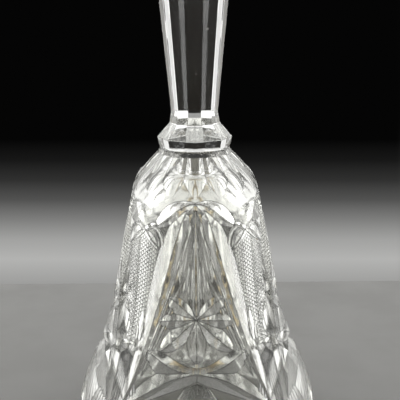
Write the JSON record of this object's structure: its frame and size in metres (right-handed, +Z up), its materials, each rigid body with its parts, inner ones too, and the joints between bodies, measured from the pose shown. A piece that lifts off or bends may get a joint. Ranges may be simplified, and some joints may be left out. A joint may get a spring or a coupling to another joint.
{
  "type": "glass bell",
  "caption": "Cut crystal hand bell: a flared glass cup with carved panels, a faceted glass grip, and a glass ball clapper hung inside on a brass chain.",
  "frame": {"origin": "on the bell's axis, in the plane of its rim", "axes": "+Z up along the bell's axis towards the grip; -Y is the middle of the front cut panel; +X to the right seen from the front"},
  "size_m": [0.0804, 0.0804, 0.17],
  "materials": {
    "cut_crystal": "polished lead crystal with mitre cuts",
    "grip_crystal": "polished flat facets",
    "ball_crystal": "polished small facets",
    "clear_bond": "clear cured adhesive",
    "cement": "matt plaster",
    "brass": "polished brass",
    "chain_brass": "drawn brass wire, lightly tarnished"
  },
  "bodies": {
    "bell": {"bell_cup": "cut_crystal", "handle": "grip_crystal", "bond_film": "clear_bond", "hanger_ferrule": "brass", "hanger_cement": "cement", "hanger_eye": "brass"},
    "link_01": {"chain_link_01": "chain_brass"},
    "link_02": {"chain_link_02": "chain_brass"},
    "link_03": {"chain_link_03": "chain_brass"},
    "link_04": {"chain_link_04": "chain_brass"},
    "link_05": {"chain_link_05": "chain_brass"},
    "link_06": {"chain_link_06": "chain_brass"},
    "link_07": {"chain_link_07": "chain_brass"},
    "link_08": {"chain_link_08": "chain_brass"},
    "link_09": {"chain_link_09": "chain_brass"},
    "link_10": {"chain_link_10": "chain_brass"},
    "clapper": {"clapper_pin": "brass", "bead_cap_upper": "brass", "bead_cap_lower": "brass", "clapper_ball": "ball_crystal"}
  },
  "joints": [
    {"name": "link_01_swing", "type": "hinge", "parent": "bell", "child": "link_01", "pos_m": [0, 0, 0.0771], "axis": [1, 0, 0], "range_deg": [-20, 20]},
    {"name": "link_02_swing", "type": "hinge", "parent": "link_01", "child": "link_02", "pos_m": [0, 0, 0.07281], "axis": [0, 1, 0], "range_deg": [-22, 22]},
    {"name": "link_03_swing", "type": "hinge", "parent": "link_02", "child": "link_03", "pos_m": [0, 0, 0.06844], "axis": [-1, 0, 0], "range_deg": [-24, 24]},
    {"name": "link_04_swing", "type": "hinge", "parent": "link_03", "child": "link_04", "pos_m": [0, 0, 0.06407], "axis": [0, -1, 0], "range_deg": [-26, 26]},
    {"name": "link_05_swing", "type": "hinge", "parent": "link_04", "child": "link_05", "pos_m": [0, 0, 0.0597], "axis": [1, 0, 0], "range_deg": [-29, 29]},
    {"name": "link_06_swing", "type": "hinge", "parent": "link_05", "child": "link_06", "pos_m": [0, 0, 0.05533], "axis": [0, 1, 0], "range_deg": [-33, 33]},
    {"name": "link_07_swing", "type": "hinge", "parent": "link_06", "child": "link_07", "pos_m": [0, 0, 0.05096], "axis": [-1, 0, 0], "range_deg": [-38, 38]},
    {"name": "link_08_swing", "type": "hinge", "parent": "link_07", "child": "link_08", "pos_m": [0, 0, 0.04659], "axis": [0, -1, 0], "range_deg": [-45, 45]},
    {"name": "link_09_swing", "type": "hinge", "parent": "link_08", "child": "link_09", "pos_m": [0, 0, 0.04222], "axis": [1, 0, 0], "range_deg": [-45, 45]},
    {"name": "link_10_swing", "type": "hinge", "parent": "link_09", "child": "link_10", "pos_m": [0, 0, 0.03785], "axis": [0, 1, 0], "range_deg": [-45, 45]},
    {"name": "clapper_swing", "type": "hinge", "parent": "link_10", "child": "clapper", "pos_m": [0, 0, 0.03348], "axis": [-1, 0, 0], "range_deg": [-45, 45]}
  ]
}
